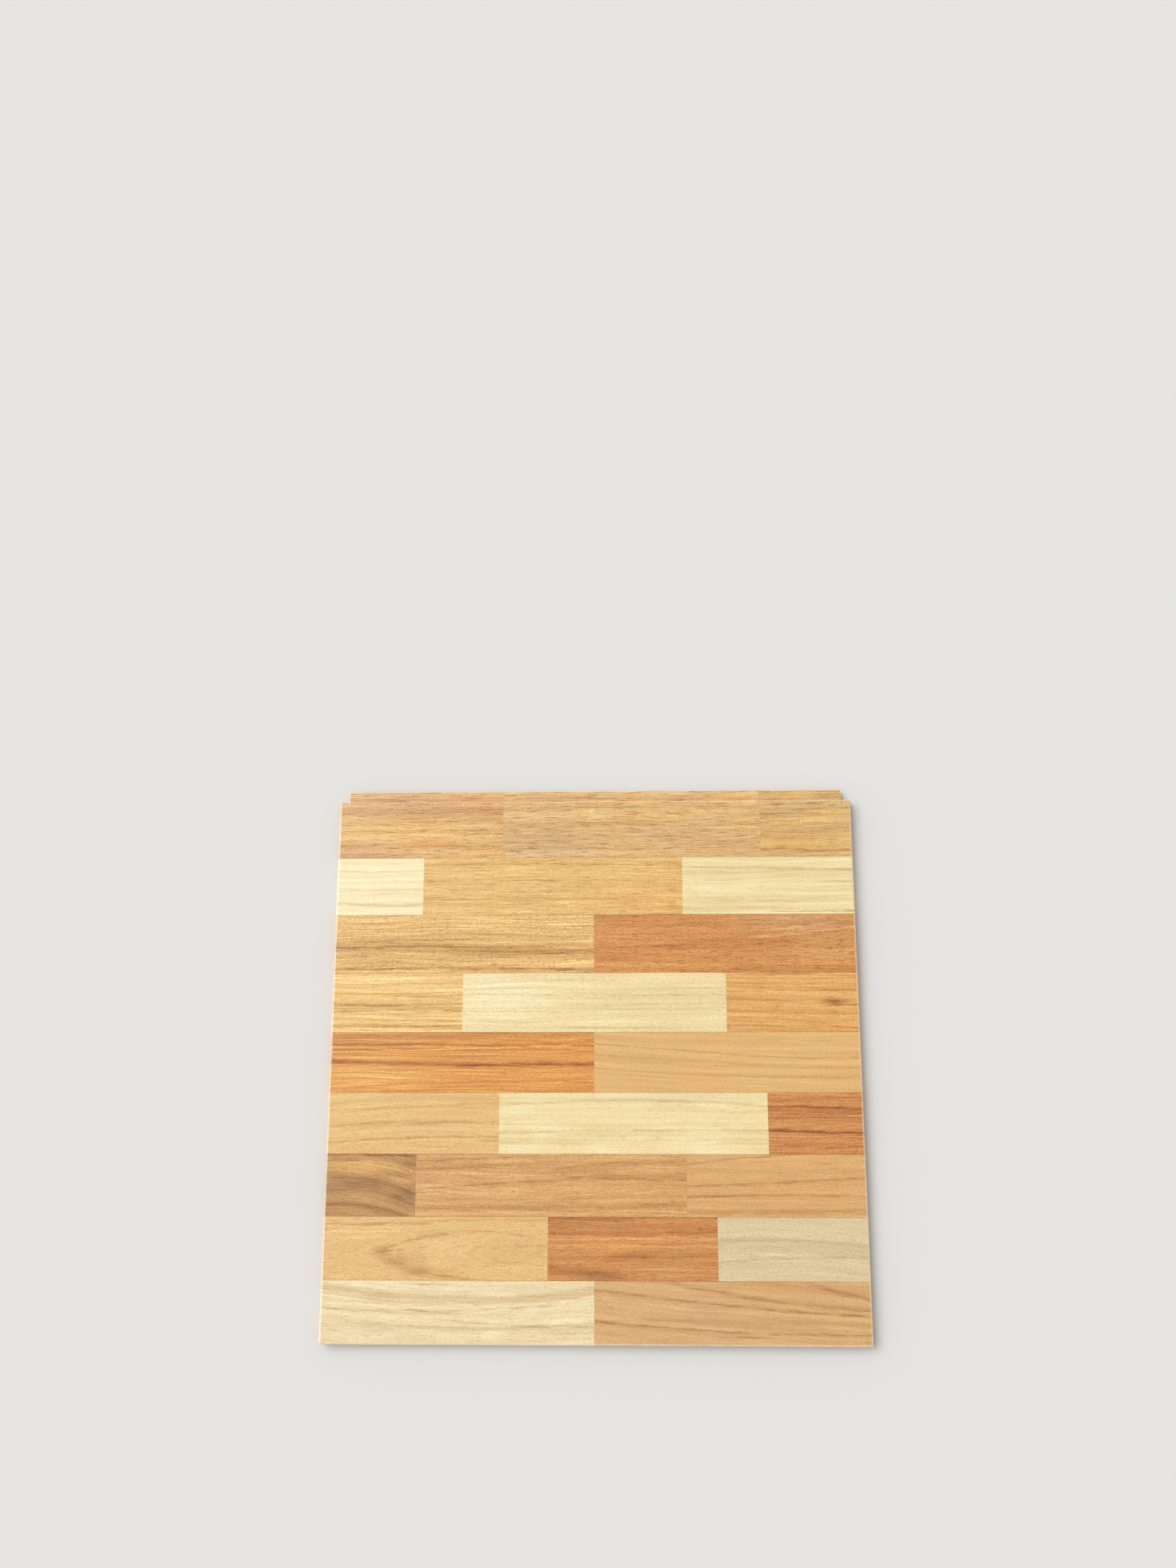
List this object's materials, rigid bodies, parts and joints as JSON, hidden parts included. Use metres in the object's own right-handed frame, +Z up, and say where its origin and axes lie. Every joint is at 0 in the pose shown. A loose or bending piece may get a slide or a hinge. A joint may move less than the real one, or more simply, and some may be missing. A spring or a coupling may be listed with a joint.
{
  "type": "wood floor panel",
  "caption": "Square solid wood floor panel of edge-glued strips in mixed light and reddish woods, with a tongue along one edge, a groove opposite and eased face edges.",
  "frame": {"origin": "middle of the underside of the square panel, with the tongue left out", "axes": "+X along the strips, +Y towards the tongue, +Z up out of the face that is walked on"},
  "size_m": [0.6, 0.6135, 0.015],
  "materials": {
    "pale_maple": "satin lacquer on the face, bare wood on edges and underside",
    "golden_oak": "satin lacquer on the face, bare wood on edges and underside",
    "streaked_teak": "satin lacquer on the face, bare wood on edges and underside",
    "tan_beech": "satin lacquer on the face, bare wood on edges and underside",
    "red_cherry": "satin lacquer on the face, bare wood on edges and underside",
    "dark_walnut": "satin lacquer on the face, bare wood on edges and underside"
  },
  "bodies": {
    "root": {"row1_strip1": "golden_oak", "row1_strip2": "golden_oak", "row1_strip3": "golden_oak", "row2_strip1": "pale_maple", "row2_strip2": "golden_oak", "row2_strip3": "pale_maple", "row3_strip1": "streaked_teak", "row3_strip2": "red_cherry", "row4_strip1": "streaked_teak", "row4_strip2": "pale_maple", "row4_strip3": "golden_oak", "row5_strip1": "streaked_teak", "row5_strip2": "tan_beech", "row6_strip1": "tan_beech", "row6_strip2": "pale_maple", "row6_strip3": "red_cherry", "row7_strip1": "dark_walnut", "row7_strip2": "tan_beech", "row7_strip3": "tan_beech", "row8_strip1": "tan_beech", "row8_strip2": "red_cherry", "row8_strip3": "pale_maple", "row9_strip1": "pale_maple", "row9_strip2": "streaked_teak"}
  },
  "joints": []
}
